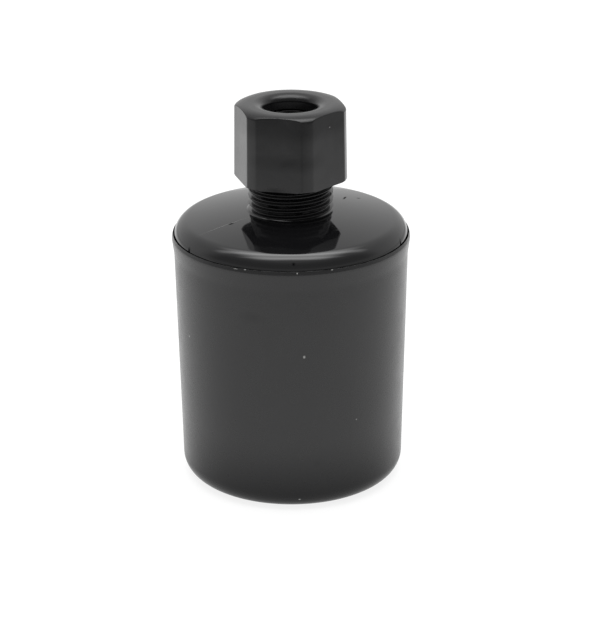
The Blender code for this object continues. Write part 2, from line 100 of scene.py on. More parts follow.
# Cap and neck
CAP_R = 24.85
SHOULDER_R = 3.6
SHOULDER_Z = -0.45
CROWN_SLOPE = radians(12.5)
CROWN_EDGE_R = CAP_R - SHOULDER_R + SHOULDER_R * sin(CROWN_SLOPE)
CROWN_EDGE_Z = SHOULDER_Z + SHOULDER_R * cos(CROWN_SLOPE)
CROWN_SPHERE_R = CROWN_EDGE_R / sin(CROWN_SLOPE)
CROWN_CENTRE_Z = CROWN_EDGE_Z - CROWN_SPHERE_R * cos(CROWN_SLOPE)
CROWN_UNDER_R = CAP_R - SHOULDER_R - 1.5    # where the crown's underside leaves the skirt
CAP_WALL = 1.9
FLANGE_BOTTOM = -1.9
SKIRT_OUTER_R = 22.9
SKIRT_INNER_R = 21.5
SKIRT_BOTTOM = cad_size("cap")[1] - RIM
BOSS_R = 7.9
BOSS_BOTTOM = -6.2
BOSS_SOCKET_R = 5.75
BOSS_CEILING = -0.6
PASSAGE_R = 3.6
NECK_TOP = cad_size("cap")[2] - RIM
TUBE_SOCKET_R = 5.2
TUBE_STOP = 8.6
SEAL_SEAT = 15.8
SEAL_SEAT_R = 6.9
FILLET_HEIGHT = 0.22        # at the foot of the neck
FILLET_WIDTH = 0.4
NECK_CHAMFER = 0.6

# Thread of the neck and of the nut
PITCH = 1.5
THREAD_DATUM = 5.6          # level of a crest of the neck on the -Y side
NECK_THREAD = {"wall": 8.3, "crest": 9.05, "half_root": 0.66, "half_crest": 0.1, "lift": 0.0}
NUT_THREAD = {"wall": 9.35, "crest": 8.6, "half_root": 0.64, "half_crest": 0.175, "lift": PITCH / 2}
THREAD_EDGE = 0.05          # rounding of the thread's edges
THREAD_STEPS = 30           # rows of faces in one pitch
THREAD_ROWS = np.arange(THREAD_STEPS) * PITCH / THREAD_STEPS - PITCH / 2
ROOT_DROP = 0.36            # how much lower than midway the root lies, where the thread shows
SHOWN_TO = 10.8             # above this level the root returns to midway, under the nut
ROOT_FADE = 1.0             # height over which it does

# Nut
NUT_RISE = 0.15             # how much higher its top is than the CAD's
NUT_BOTTOM = cad_size("compression_nut")[1] - RIM
NUT_TOP = cad_size("compression_nut")[2] - RIM + NUT_RISE
NUT_TOP_FLATS = 21.5
NUT_FOOT_FLATS = 21.95
NUT_TOP_CORNER_R = 11.8
NUT_FOOT_CORNER_R = 12.04
NUT_CORNER_ANGLE = radians(-73.1)
NUT_EDGE_WIDTH = 3.0
NUT_EDGE_HEIGHT = 1.1
NUT_FOOT_CHAMFER = 0.14
NUT_FOOT_ANGLE = radians(30.0)
NUT_LEAD_IN = 0.5           # chamfer where the neck goes in
NUT_BORE_R = 5.25
NUT_THROAT_R = 5.6
NUT_MOUTH_R = 7.9           # where the mouth's rounding meets the top face
NUT_MOUTH_CURVE = 3.6
NUT_MOUTH_SLOPE = radians(27.0)
NUT_SHOULDER = 25.2
NUT_POCKET_R = 7.8
NUT_POCKET_BEVEL = 0.6
NUT_THREAD_TOP = 20.9
NUT_SINK = 0.035            # how far the middle of a flat has sunk
NUT_EDGE_BLEND = 0.12       # width over which a flat blends into a turned corner

# Thrust ring
THRUST_BORE_R = 5.3
THRUST_EDGE = 0.12

COLUMNS = 240               # points round the canister and the cap
RING_COLUMNS = 96           # points round the thrust ring
ARC_STEP = radians(8.0)     # turn between two points of a rounding
HOLD = 0.1                  # distance from a rounding to the point that holds the flat beside it
LONG_STRETCH = 3.0          # longer straight stretches are divided
SMOOTH_ANGLE = radians(40.0)    # sharper edges stay sharp when shaded


# ---------------------------------------------------------------- profiles

def rounded(corners):
    """A fine profile from (radius, height, rounding) corners."""
    points = []
    for index, (radius, height, rounding) in enumerate(corners):
        here = np.array((radius, height))
        if not rounding:
            points.append(here)
            continue
        before = np.array(corners[index - 1][:2]) - here
        after = np.array(corners[(index + 1) % len(corners)][:2]) - here
        before /= np.linalg.norm(before)
        after /= np.linalg.norm(after)
        half = acos(np.clip(before @ after, -1.0, 1.0)) / 2
        bisector = (before + after) / np.linalg.norm(before + after)
        centre = here + bisector * rounding / sin(half)
        start = here + before * rounding / tan(half)
        end = here + after * rounding / tan(half)
        points += arc_between(centre, start, end)
    return points


def arc_between(centre, start, end):
    """Points along the shorter arc round a centre."""
    first = atan2(*(start - centre)[::-1])
    sweep = (atan2(*(end - centre)[::-1]) - first + pi) % (2 * pi) - pi
    radius = np.linalg.norm(start - centre)
    steps = max(2, ceil(abs(sweep) / ARC_STEP))
    angles = [first + sweep * step / steps for step in range(steps + 1)]
    return [centre + radius * np.array((cos(angle), sin(angle))) for angle in angles]


def held(points, closed=True):
    """Adds points just beside the ends of each straight stretch, and along a long one."""
    result = []
    for index, here in enumerate(points):
        result.append(here)
        if index + 1 == len(points) and not closed:
            break
        ahead = points[(index + 1) % len(points)]
        length = np.linalg.norm(ahead - here)
        if length < 4 * HOLD:
            continue
        pieces = ceil(length / LONG_STRETCH)
        shares = [HOLD / length, *(step / pieces for step in range(1, pieces)), 1.0 - HOLD / length]
        result += [here + (ahead - here) * share for share in shares]
    return result


# ---------------------------------------------------------------- skins

def ring(radius, height, angles):
    """One ring of points. The radius and the height may vary round it."""
    radius = np.broadcast_to(radius, angles.shape)
    height = np.broadcast_to(height, angles.shape)
    return np.stack((radius * np.cos(angles), radius * np.sin(angles), height), axis=1)


def even_angles(count):
    """Angles round the axis, from the -Y side."""
    return -pi / 2 + 2 * pi * np.arange(count) / count


def ring_skin(rings, closed=False):
    """Quads between rings, which run down the outer side of a piece and up its inner side."""
    count = len(rings[0])
    faces = []
    for row in range(len(rings) if closed else len(rings) - 1):
        here = row * count
        below = (row + 1) % len(rings) * count
        for column in range(count):
            after = (column + 1) % count
            faces.append((here + column, below + column, below + after, here + after))
    return np.concatenate(rings), faces


def helical_skin(radius_at, low, high, lift, angles, outside):
    """Quads in rows that follow a thread's helix. The rows past low and high close up on them."""
    turns = (angles + pi / 2) / (2 * pi)
    low = np.broadcast_to(low, angles.shape)
    first = floor((low.min() - THREAD_DATUM - lift) / PITCH) - 3
    last = ceil((high - THREAD_DATUM - lift) / PITCH) + 2
    rings = []
    for turn in range(first, last):
        for row in THREAD_ROWS:
            height = np.clip(THREAD_DATUM + lift + PITCH * (turn + turns) + row, low, high)
            rings.append(ring(radius_at(turns, height), height, angles))
    count = len(angles)
    faces = []
    for row in range(len(rings) - 1):
        for column in range(count):
            corners = [(row, column), (row, column + 1), (row + 1, column + 1), (row + 1, column)]
            if column + 1 == count:
                past = min(row + len(THREAD_ROWS), len(rings) - 1)
                past_above = min(row + 1 + len(THREAD_ROWS), len(rings) - 1)
                corners[1:3] = [(past, 0), (past_above, 0)]
            face = [corner_row * count + corner_column for corner_row, corner_column in corners]
            faces.append(face if outside else face[::-1])
    return np.concatenate(rings), faces


def thread_radius(turns, heights, wall, crest, half_root, half_crest, lift, drop=0.0):
    """Radius of a thread's wall, at angles counted in turns from the -Y side."""
    offset = (heights - THREAD_DATUM - lift) / PITCH - turns
    below = (-offset % 1.0) * PITCH
    root = PITCH / 2 + drop
    lower_side = half_crest + (below - half_crest) * (PITCH / 2 - half_crest) / (root - half_crest)
    upper_side = PITCH / 2 - (below - root) * (PITCH / 2 - half_crest) / (PITCH - root - half_crest)
    distance = np.where(below < root, lower_side, upper_side)
    shifts = np.linspace(-THREAD_EDGE, THREAD_EDGE, 5)
    flank = np.mean([np.clip((half_root - distance - shift) / (half_root - half_crest), 0.0, 1.0)
                     for shift in shifts], axis=0)
    return wall + (crest - wall) * flank


def add_piece(name, skins, material, body, node):
    """Welds skins, in millimetres, into one closed mesh that stands for a CAD node."""
    points = []
    faces = []
    for skin_points, skin_faces in skins:
        faces += [[len(points) + corner for corner in face] for face in skin_faces]
        points += (skin_points * MM).tolist()
    mesh = bpy.data.meshes.new(name)
    mesh.from_pydata(points, [], faces)
    bm = bmesh.new()
    bm.from_mesh(mesh)
    bmesh.ops.remove_doubles(bm, verts=bm.verts, dist=WELD)
    bmesh.ops.delete(bm, geom=[vert for vert in bm.verts if not vert.link_faces], context="VERTS")
    bm.to_mesh(mesh)
    bm.free()
    mesh.shade_smooth()
    mesh.set_sharp_from_angle(angle=SMOOTH_ANGLE)
    mesh.materials.append(material)
    piece = bpy.data.objects.new(name, mesh)
    bpy.context.scene.collection.objects.link(piece)
    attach(piece, body)
    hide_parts(node)
    return piece


# ---------------------------------------------------------------- marks

# Each is a place, a size and a turn about the upright axis. Heights are from the standing face.
CANISTER_LINT = (
    ((2.55, -24.6, 35.6), (0.22, 0.6, 0.28), 0.0),
    ((13.5, -20.6, 19.5), (0.16, 0.6, 0.16), 0.0),
    ((-21.7, -11.8, 35.2), (0.16, 0.3, 0.2), 0.0),
    ((1.4, -23.4, 2.6), (0.2, 0.6, 0.14), 0.0),
    ((8.3, -23.7, 54.5), (0.18, 0.4, 0.08), 0.0),
    ((1.2, -25.1, 54.3), (0.14, 0.4, 0.14), 0.0),
    ((-11.3, -22.4, 54.4), (0.5, 0.3, 0.06), 0.0),
    ((-9.4, -23.3, 54.5), (0.2, 0.3, 0.08), 0.0),
)
CANISTER_SMUDGES = (
    ((5.1, -23.9, 10.9), (0.9, 1.5, 0.9), 0.0),
    ((3.1, -24.0, 9.7), (0.3, 1.5, 0.3), 0.0),
    ((-8.0, -22.5, 44.0), (2.5, 2.0, 1.2), 0.0),
)
CANISTER_FLOW_LINE = ((12.2, -21.5, 14.0), (0.12, 1.5, 14.0), 0.0)
CAP_SCUFFS = (
    ((11.6, 7.8, 59.1), (0.26, 1.3, 0.6), -0.25),
    ((14.6, 9.0, 58.6), (0.5, 0.25, 0.6), 0.4),
    ((-12.5, -8.0, 59.0), (0.6, 0.35, 0.6), 0.4),
    ((22.9, -9.6, 54.9), (0.25, 1.2, 0.9), 0.2),
    ((-21.2, -13.0, 54.8), (0.3, 0.6, 0.9), 0.0),
    ((0.5, -24.5, 56.0), (0.3, 0.6, 0.3), 0.0),
)
CAP_SCRATCH = ((-14.1, -8.5, 59.0), (5.4, 0.07, 2.0), radians(29.0))
NUT_STREAK = ((0.0, -10.8, 73.0), (7.5, 2.0, 1.1), 0.0)
NUT_CHIP = ((-3.3, -10.8, 67.0), (1.4, 1.5, 0.5), 0.0)
NUT_FLECK = ((8.2, -7.3, 79.6), (0.16, 0.3, 0.16), 0.0)


# ---------------------------------------------------------------- materials

class Sums:
    """Short calls for the sums of a node tree."""

    def __init__(self, tree):
        self.nodes = tree.nodes
        self.links = tree.links

    def put(self, socket, value):
        """Sets a socket, or links it where the value is another node's output."""
        if isinstance(value, bpy.types.NodeSocket):
            self.links.new(value, socket)
        else:
            socket.default_value = value

    def maths(self, operation, first, second=0.0):
        node = self.nodes.new("ShaderNodeMath")
        node.operation = operation
        self.put(node.inputs[0], first)
        self.put(node.inputs[1], second)
        return node.outputs["Value"]

    def total(self, first, *others):
        for other in others:
            first = self.maths("ADD", first, other)
        return first

    def most(self, first, *others):
        """The largest of several values."""
        for other in others:
            first = self.maths("MAXIMUM", first, other)
        return first

    def span(self, value, low, high, to_low=0.0, to_high=1.0, smooth=False):
        """Maps low..high to to_low..to_high, clamped."""
        node = self.nodes.new("ShaderNodeMapRange")
        node.interpolation_type = "SMOOTHSTEP" if smooth else "LINEAR"
        self.put(node.inputs["Value"], value)
        node.inputs["From Min"].default_value = low
        node.inputs["From Max"].default_value = high
        node.inputs["To Min"].default_value = to_low
        node.inputs["To Max"].default_value = to_high
        return node.outputs["Result"]

    def ramp(self, value, stops):
        """Radiance along (position, radiance) stops."""
        node = self.nodes.new("ShaderNodeValToRGB")
        elements = node.color_ramp.elements
        elements.remove(elements[1])
        elements[0].position = stops[0][0]
        elements[0].color = (*[stops[0][1]] * 3, 1.0)
        for position, radiance in stops[1:]:
            elements.new(position).color = (radiance, radiance, radiance, 1.0)
        self.links.new(value, node.inputs["Fac"])
        return node.outputs["Color"]

    def axes(self, vector):
        node = self.nodes.new("ShaderNodeSeparateXYZ")
        self.links.new(vector, node.inputs["Vector"])
        return node.outputs


class Surface(Sums):
    """A Principled material, with short calls for the textures that vary it.
    Texture positions are in the object's own metres."""

    def __init__(self, name, colour, roughness, metallic=0.0):
        self.material = bpy.data.materials.new(name)
        self.material.use_nodes = True
        super().__init__(self.material.node_tree)
        self.shader = self.nodes["Principled BSDF"]
        self.shader.inputs["Base Color"].default_value = (*colour, 1.0)
        self.shader.inputs["Roughness"].default_value = roughness
        self.shader.inputs["Metallic"].default_value = metallic
        self.material.diffuse_color = (*colour, 1.0)
        self.place = self.nodes.new("ShaderNodeTexCoord").outputs["Object"]

    def stretched(self, stretch, turn=(0.0, 0.0, 0.0)):
        node = self.nodes.new("ShaderNodeMapping")
        self.links.new(self.place, node.inputs["Vector"])
        node.inputs["Scale"].default_value = stretch
        node.inputs["Rotation"].default_value = turn
        return node.outputs["Vector"]

    def noise(self, size, detail=2.0, seed=0.0, distortion=0.0,
              stretch=(1.0, 1.0, 1.0), turn=(0.0, 0.0, 0.0)):
        """Noise from 0 to 1, whose features measure about size millimetres."""
        node = self.nodes.new("ShaderNodeTexNoise")
        node.noise_dimensions = "4D"
        self.links.new(self.stretched(stretch, turn), node.inputs["Vector"])
        node.inputs["W"].default_value = seed
        node.inputs["Scale"].default_value = 1.0 / (size * MM)
        node.inputs["Detail"].default_value = detail
        node.inputs["Distortion"].default_value = distortion
        return node.outputs["Fac"]

    def specks(self, spacing, radius, share, seed=0.0):
        """1 inside round specks scattered about spacing millimetres apart, on a share of the cells."""
        node = self.nodes.new("ShaderNodeTexVoronoi")
        node.voronoi_dimensions = "4D"
        self.links.new(self.place, node.inputs["Vector"])
        node.inputs["W"].default_value = seed
        node.inputs["Scale"].default_value = 1.0 / (spacing * MM)
        inside = self.span(node.outputs["Distance"], radius / spacing, radius / spacing * 0.5)
        split = self.nodes.new("ShaderNodeSeparateColor")
        self.links.new(node.outputs["Color"], split.inputs["Color"])
        chosen = self.maths("LESS_THAN", split.outputs[0], share)
        return self.maths("MULTIPLY", inside, chosen)

    def spot(self, at, size, turn=0.0, softness=0.5):
        """1 inside an ellipsoid centred at a place, both in millimetres, falling to 0 past it."""
        node = self.nodes.new("ShaderNodeMapping")
        node.vector_type = "TEXTURE"
        self.links.new(self.place, node.inputs["Vector"])
        node.inputs["Location"].default_value = [place * MM for place in at]
        node.inputs["Rotation"].default_value = (0.0, 0.0, turn)
        node.inputs["Scale"].default_value = [axis * MM for axis in size]
        length = self.nodes.new("ShaderNodeVectorMath")
        length.operation = "LENGTH"
        self.links.new(node.outputs["Vector"], length.inputs[0])
        return self.span(length.outputs["Value"], 1.0 + softness, 1.0 - softness)

    def marks(self, places):
        """1 inside any of several spots."""
        return self.most(*[self.spot(*place) for place in places])

    def blend(self, share, first, second):
        """Mixes two colours: the first where the share is 0, the second where it is 1."""
        node = self.nodes.new("ShaderNodeMix")
        node.data_type = "RGBA"
        self.put(node.inputs[0], share)
        for socket, value in zip((node.inputs[6], node.inputs[7]), (first, second)):
            self.put(socket, value if isinstance(value, bpy.types.NodeSocket) else (*value, 1.0))
        return node.outputs[2]

    def colour(self, value):
        self.put(self.shader.inputs["Base Color"], value)

    def specular(self, value):
        self.put(self.shader.inputs["Specular IOR Level"], value)

    def roughness(self, value):
        self.put(self.shader.inputs["Roughness"], value)

    def bump(self, height, depth):
        """Adds relief: height runs from 0 to 1 over a depth in millimetres."""
        node = self.nodes.new("ShaderNodeBump")
        node.inputs["Distance"].default_value = depth * MM
        self.links.new(height, node.inputs["Height"])
        last = self.shader.inputs["Normal"]
        if last.is_linked:
            self.links.new(last.links[0].from_socket, node.inputs["Normal"])
        self.links.new(node.outputs["Normal"], last)


def canister_plastic():
    """Satin black moulded plastic with a fine grain, lint and a few rubbed marks, and painted shade low
    down: its reflection is weakened towards the foot.
    """
    surface = Surface("satin_black_plastic", (0.011, 0.011, 0.0115), 0.32)
    mottle = surface.noise(2.6, detail=3.0, seed=1.0)
    cloud = surface.noise(17.0, detail=2.0, seed=2.0)
    grain = surface.noise(0.22, detail=2.0, seed=3.0)
    specks = surface.specks(2.4, 0.09, 0.06, seed=4.0)
    lint = surface.marks(CANISTER_LINT)
    smudge = surface.marks(CANISTER_SMUDGES)
    flow_line = surface.spot(*CANISTER_FLOW_LINE)
    surface.roughness(surface.total(
        surface.span(cloud, 0.3, 0.7, 0.24, 0.3),
        surface.span(mottle, 0.3, 0.7, -0.03, 0.03),
        surface.maths("MULTIPLY", surface.most(smudge, flow_line), 0.14),
    ))
    base = surface.blend(surface.span(cloud, 0.35, 0.65), (0.0095, 0.0095, 0.010), (0.0125, 0.0125, 0.013))
    base = surface.blend(surface.maths("MULTIPLY", specks, 0.35), base, (0.25, 0.25, 0.25))
    surface.colour(surface.blend(lint, base, (0.32, 0.32, 0.31)))
    # Painted shade: less reflection towards the foot, standing in for the shadowed floor that the lower
    # wall mirrors.
    height = surface.axes(surface.place)["Z"]
    surface.specular(surface.span(height, 0.0, 17.0 * MM, 0.17, 0.48, smooth=True))
    surface.bump(grain, 0.012)
    surface.bump(mottle, 0.012)
    return surface.material


def cap_plastic():
    """Gloss black moulded plastic with a slight waviness, hairlines, dust, scuffs and a scratch."""
    surface = Surface("gloss_black_plastic", (0.005, 0.005, 0.0055), 0.07)
    wave = surface.noise(7.0, detail=1.0, seed=11.0)
    mottle = surface.noise(1.5, detail=3.0, seed=12.0)
    strands = surface.noise(2.2, detail=4.0, stretch=(0.06, 1.0, 1.0), turn=(0.0, 0.0, 0.5), seed=13.0)
    hairlines = surface.span(strands, 0.66, 0.7)
    dust = surface.specks(1.6, 0.07, 0.14, seed=14.0)
    scuffs = surface.marks(CAP_SCUFFS)
    scratch = surface.spot(*CAP_SCRATCH)
    surface.roughness(surface.total(
        surface.span(mottle, 0.3, 0.7, 0.05, 0.09),
        surface.maths("MULTIPLY", hairlines, 0.12),
        surface.maths("MULTIPLY", surface.most(scuffs, scratch), 0.35),
    ))
    base = surface.blend(surface.maths("MULTIPLY", dust, 0.4), (0.005, 0.005, 0.0055), (0.3, 0.3, 0.3))
    surface.colour(surface.blend(surface.maths("MULTIPLY", scratch, 0.25), base, (0.4, 0.4, 0.4)))
    surface.specular(surface.span(scuffs, 0.0, 1.0, 0.5, 0.0))
    surface.bump(wave, 0.02)
    surface.bump(mottle, 0.0015)
    return surface.material


def nut_plastic():
    """Semi-gloss black moulded plastic with cloudy flats, a streak, a chip and a duller top."""
    surface = Surface("nut_black_plastic", (0.006, 0.006, 0.0065), 0.2)
    cloud = surface.noise(5.0, detail=3.0, seed=21.0, distortion=0.6)
    grain = surface.noise(0.35, detail=2.0, seed=22.0)
    streak = surface.spot(*NUT_STREAK, softness=0.9)
    chip = surface.spot(*NUT_CHIP, softness=0.8)
    fleck = surface.spot(*NUT_FLECK)
    surface.roughness(surface.total(
        surface.span(cloud, 0.3, 0.7, 0.16, 0.25),
        surface.maths("MULTIPLY", chip, 0.2),
    ))
    base = surface.blend(surface.span(cloud, 0.35, 0.65), (0.005, 0.005, 0.0053), (0.009, 0.009, 0.0095))
    surface.colour(surface.blend(fleck, base, (0.3, 0.3, 0.3)))
    height = surface.axes(surface.place)["Z"]
    gloss = surface.span(height, 76.5 * MM, 80.0 * MM, 0.46, 0.31, smooth=True)
    dulled = surface.span(surface.most(streak, chip), 0.0, 1.0, 1.0, 0.72)
    surface.specular(surface.maths("MULTIPLY", gloss, dulled))
    surface.bump(grain, 0.004)
    surface.bump(cloud, 0.03)
    return surface.material


def acetal():
    """Black acetal with faint turning marks."""
    surface = Surface("black_acetal", (0.012, 0.012, 0.012), 0.35)
    tooling = surface.noise(0.4, detail=1.0, stretch=(0.05, 0.05, 1.0), seed=31.0)
    surface.roughness(surface.span(tooling, 0.3, 0.7, 0.3, 0.42))
    surface.bump(tooling, 0.004)
    return surface.material


def rubber():
    """Black rubber with a dusty bloom."""
    surface = Surface("black_rubber", (0.014, 0.014, 0.014), 0.6)
    bloom = surface.noise(0.8, detail=4.0, seed=41.0)
    surface.roughness(surface.span(bloom, 0.3, 0.7, 0.5, 0.7))
    surface.colour(surface.blend(bloom, (0.01, 0.01, 0.01), (0.024, 0.024, 0.025)))
    surface.bump(bloom, 0.01)
    return surface.material


def stainless():
    """Bright stainless steel with a fine brushed grain."""
    surface = Surface("stainless_steel", (0.6, 0.6, 0.61), 0.28, 1.0)
    brush = surface.noise(0.25, detail=2.0, stretch=(1.0, 1.0, 0.1), seed=51.0)
    surface.roughness(surface.span(brush, 0.3, 0.7, 0.2, 0.36))
    surface.bump(brush, 0.003)
    return surface.material


def aluminium():
    """Mill-finish aluminium with rolling lines and duller patches."""
    surface = Surface("sheet_aluminium", (0.74, 0.74, 0.76), 0.35, 1.0)
    rolling = surface.noise(0.5, detail=3.0, stretch=(1.0, 1.0, 0.06), seed=61.0)
    oxide = surface.noise(4.0, detail=3.0, seed=62.0)
    surface.roughness(surface.span(rolling, 0.3, 0.7, 0.28, 0.45))
    surface.colour(surface.blend(surface.span(oxide, 0.4, 0.7), (0.76, 0.76, 0.78), (0.62, 0.62, 0.63)))
    surface.bump(rolling, 0.004)
    return surface.material


def felt():
    """Grey needled felt with loose fibres and clumps."""
    surface = Surface("grey_felt", (0.42, 0.41, 0.39), 0.95)
    fibres = surface.noise(0.3, detail=5.0, stretch=(0.3, 1.0, 1.0), seed=71.0, distortion=1.5)
    clumps = surface.noise(2.5, detail=3.0, seed=72.0)
    thickness = surface.maths("MULTIPLY", fibres, clumps)
    surface.colour(surface.blend(thickness, (0.26, 0.25, 0.24), (0.62, 0.61, 0.58)))
    surface.shader.inputs["Sheen Weight"].default_value = 0.4
    surface.bump(fibres, 0.25)
    surface.bump(clumps, 0.3)
    return surface.material


# ---------------------------------------------------------------- canister

def canister(material):
    """Drafted cup with a thin rim lip, a rounded bottom edge, a foot ring and exhaust slots."""
    face_foot = RIM - LIP_BEVEL_HEIGHT - LIP_FACE_HEIGHT
    corners = [
        (0.0, FLOOR_TOP, 0.0),
        (INNER_BOTTOM_R, FLOOR_TOP, 2.0),
        (INNER_TOP_R, RIM - REBATE_DEPTH, 0.1),
        (LIP_BORE_R, RIM - REBATE_DEPTH, 0.08),
        (LIP_BORE_R, RIM, 0.04),
        (LIP_TOP_R, RIM, 0.04),
        (LIP_R, RIM - LIP_BEVEL_HEIGHT, 0.8),
        (LIP_R, face_foot, 3.0),
        (WALL_TOP_R, face_foot - LIP_TAPER_HEIGHT, 9.0),
        (WALL_BOTTOM_R, 0.0, BOTTOM_EDGE_R),
        (FOOT_INNER_R, 0.0, 0.2),
        (FOOT_INNER_R - FOOT_DRAFT, FOOT_HEIGHT, 0.15),
        (0.0, FOOT_HEIGHT, 0.0),
    ]
    angles = even_angles(COLUMNS)
    rings = []
    for radius, height in held(rounded(corners)):
        near_top = np.clip(1.0 - (RIM - height) / RAGGED_DEPTH, 0.0, 1.0)
        near_bore = np.clip((LIP_TOP_R - radius) / (LIP_TOP_R - LIP_BORE_R), 0.0, 1.0)
        scraped = near_top * near_bore * ragged(angles) if radius > INNER_TOP_R else 0.0
        rings.append(ring(radius + scraped, height, angles))
    skin = ring_skin(rings, closed=True)
    cup = add_piece("canister_shell", [skin], material, "root", "canister")
    cutter = exhaust_slots()
    boolean = cup.modifiers.new("exhaust_slots", "BOOLEAN")
    boolean.operation = "DIFFERENCE"
    boolean.object = cutter
    boolean.solver = "EXACT"
    graph = bpy.context.evaluated_depsgraph_get()
    cut = bpy.data.meshes.new_from_object(cup.evaluated_get(graph))
    cup.modifiers.clear()
    cup.data = cut
    bpy.data.objects.remove(cutter)


def ragged(angles):
    """Uneven scraping of the rim where it meets the cap, worst on the right of the front."""
    waves = sum(size * np.sin(count * angles + phase) for count, phase, size in RAGGED_WAVES)
    worst = np.exp(-((angles - RAGGED_WORST) / RAGGED_WORST_SPREAD) ** 2)
    return np.clip(waves * (1.0 + worst), -RAGGED_BURR, RAGGED_CUT)


def exhaust_slots():
    """Radial slots with round ends, as a tool."""
    end_steps = 12
    half = SLOT_LENGTH / 2 - SLOT_WIDTH / 2
    outline = []
    for side in (1, -1):
        for step in range(end_steps + 1):
            angle = -pi / 2 + pi * step / end_steps
            x = half + SLOT_WIDTH / 2 * cos(angle)
            y = SLOT_WIDTH / 2 * sin(angle)
            outline.append((SLOT_R + side * x, side * y, -SLOT_OVERRUN))
    bm = bmesh.new()
    for index in range(SLOT_COUNT):
        around = Matrix.Rotation(2 * pi * (index + 0.5) / SLOT_COUNT, 4, "Z")
        face = bm.faces.new([bm.verts.new(around @ (Vector(point) * MM)) for point in outline])
        made = bmesh.ops.extrude_face_region(bm, geom=[face])
        top = [item for item in made["geom"] if isinstance(item, bmesh.types.BMVert)]
        bmesh.ops.translate(bm, verts=top, vec=(0.0, 0.0, (FLOOR_TOP + 2 * SLOT_OVERRUN) * MM))
    bmesh.ops.recalc_face_normals(bm, faces=bm.faces)
    mesh = bpy.data.meshes.new("slot_tool")
    bm.to_mesh(mesh)
    bm.free()
    tool = bpy.data.objects.new("slot_tool", mesh)
    bpy.context.scene.collection.objects.link(tool)
    return tool


# ---------------------------------------------------------------- cap

def crown_height(radius, depth=0.0):
    """Height of the crown's sphere at a radius, or of its underside at a depth."""
    return CROWN_CENTRE_Z + np.sqrt((CROWN_SPHERE_R - depth) ** 2 - radius ** 2)


def neck_radius(turns, heights):
    """The neck's thread, with a chamfer at its top and a lowered root where it shows."""
    chamfer = NECK_THREAD["wall"] - NECK_CHAMFER + NECK_TOP - heights
    drop = ROOT_DROP * np.clip((SHOWN_TO + ROOT_FADE - heights) / ROOT_FADE, 0.0, 1.0)
    return np.minimum(thread_radius(turns, heights, **NECK_THREAD, drop=drop), chamfer)


def neck_foot(turns):
    """Where the thread's wall meets the fillet at its foot: radius and height round the neck."""
    height = np.full(turns.shape, crown_height(NECK_THREAD["wall"]))
    for _ in range(30):     # settles on the height where the two meet
        radius = neck_radius(turns, height)
        height = crown_height(radius) + FILLET_HEIGHT
    return neck_radius(turns, height), height


def cap(material):
    """Domed lid with a skirt, a boss for the diffuser tube and a threaded neck."""
    angles = even_angles(COLUMNS)
    turns = (angles + pi / 2) / (2 * pi)
    foot_r, foot_z = neck_foot(turns)
    thread = helical_skin(neck_radius, foot_z, NECK_TOP, 0.0, angles, outside=True)
    thread[0][:, 2] += RIM

    near = 0.04             # share of the way out that the fillet takes
    shares = np.concatenate((np.linspace(0.0, near, 9)[:-1], np.linspace(near, 1.0, 45)))
    rings = []
    for share in shares:
        radius = foot_r + (CROWN_EDGE_R - foot_r) * share
        fillet = FILLET_HEIGHT * np.clip(1.0 - (radius - foot_r) / FILLET_WIDTH, 0.0, 1.0) ** 2
        rings.append(ring(radius, crown_height(radius) + fillet + RIM, angles))
    shoulder_steps = 18
    for step in range(1, shoulder_steps + 1):
        angle = (pi / 2 - CROWN_SLOPE) * (1.0 - step / shoulder_steps)
        radius = CAP_R - SHOULDER_R + SHOULDER_R * cos(angle)
        rings.append(ring(radius, RIM + SHOULDER_Z + SHOULDER_R * sin(angle), angles))
    inside = [
        (CAP_R, SHOULDER_Z, 0.0),
        (CAP_R, FLANGE_BOTTOM, 0.1),
        (SKIRT_OUTER_R, FLANGE_BOTTOM, 0.2),
        (SKIRT_OUTER_R, SKIRT_BOTTOM, 0.3),
        (SKIRT_INNER_R, SKIRT_BOTTOM, 0.3),
        (SKIRT_INNER_R, SHOULDER_Z, 1.0),
        (CROWN_UNDER_R, float(crown_height(CROWN_UNDER_R, CAP_WALL)), 1.0),
        (BOSS_R, float(crown_height(BOSS_R, CAP_WALL)), 0.6),
        (BOSS_R, BOSS_BOTTOM, 0.3),
        (BOSS_SOCKET_R, BOSS_BOTTOM, 0.2),
        (BOSS_SOCKET_R, BOSS_CEILING, 0.1),
        (PASSAGE_R, BOSS_CEILING, 0.2),
        (PASSAGE_R, TUBE_STOP, 0.2),
        (TUBE_SOCKET_R, TUBE_STOP, 0.1),
        (TUBE_SOCKET_R, SEAL_SEAT, 0.15),
        (SEAL_SEAT_R, SEAL_SEAT, 0.1),
        (SEAL_SEAT_R, NECK_TOP, 0.1),
        (NECK_THREAD["wall"] - NECK_CHAMFER, NECK_TOP, 0.0),
    ]
    rings += [ring(radius, height + RIM, angles) for radius, height in held(rounded(inside), closed=False)]
    add_piece("cap_shell", [ring_skin(rings), thread], material, "root", "cap")


# ---------------------------------------------------------------- nut

def nut_angles():
    """Angles round the nut, closest together beside the turned corners' edges."""
    strip = 30.0 - degrees(acos(NUT_TOP_FLATS / 2 / NUT_TOP_CORNER_R))
    beside = np.array((0.4, 0.75, 1.1, 1.5, 1.9, 2.4, 3.0))
    edge = strip + np.concatenate((-beside[::-1], (0.0,), beside))
    half = np.concatenate(((1.3,), edge, (10.4, 12.5, 15.0, 18.0, 21.0, 24.0, 27.0)))
    sector = np.concatenate(((-30.0,), -half[::-1], (0.0,), half))
    return NUT_CORNER_ANGLE + np.radians(np.concatenate([sector + 60.0 * index for index in range(6)]))


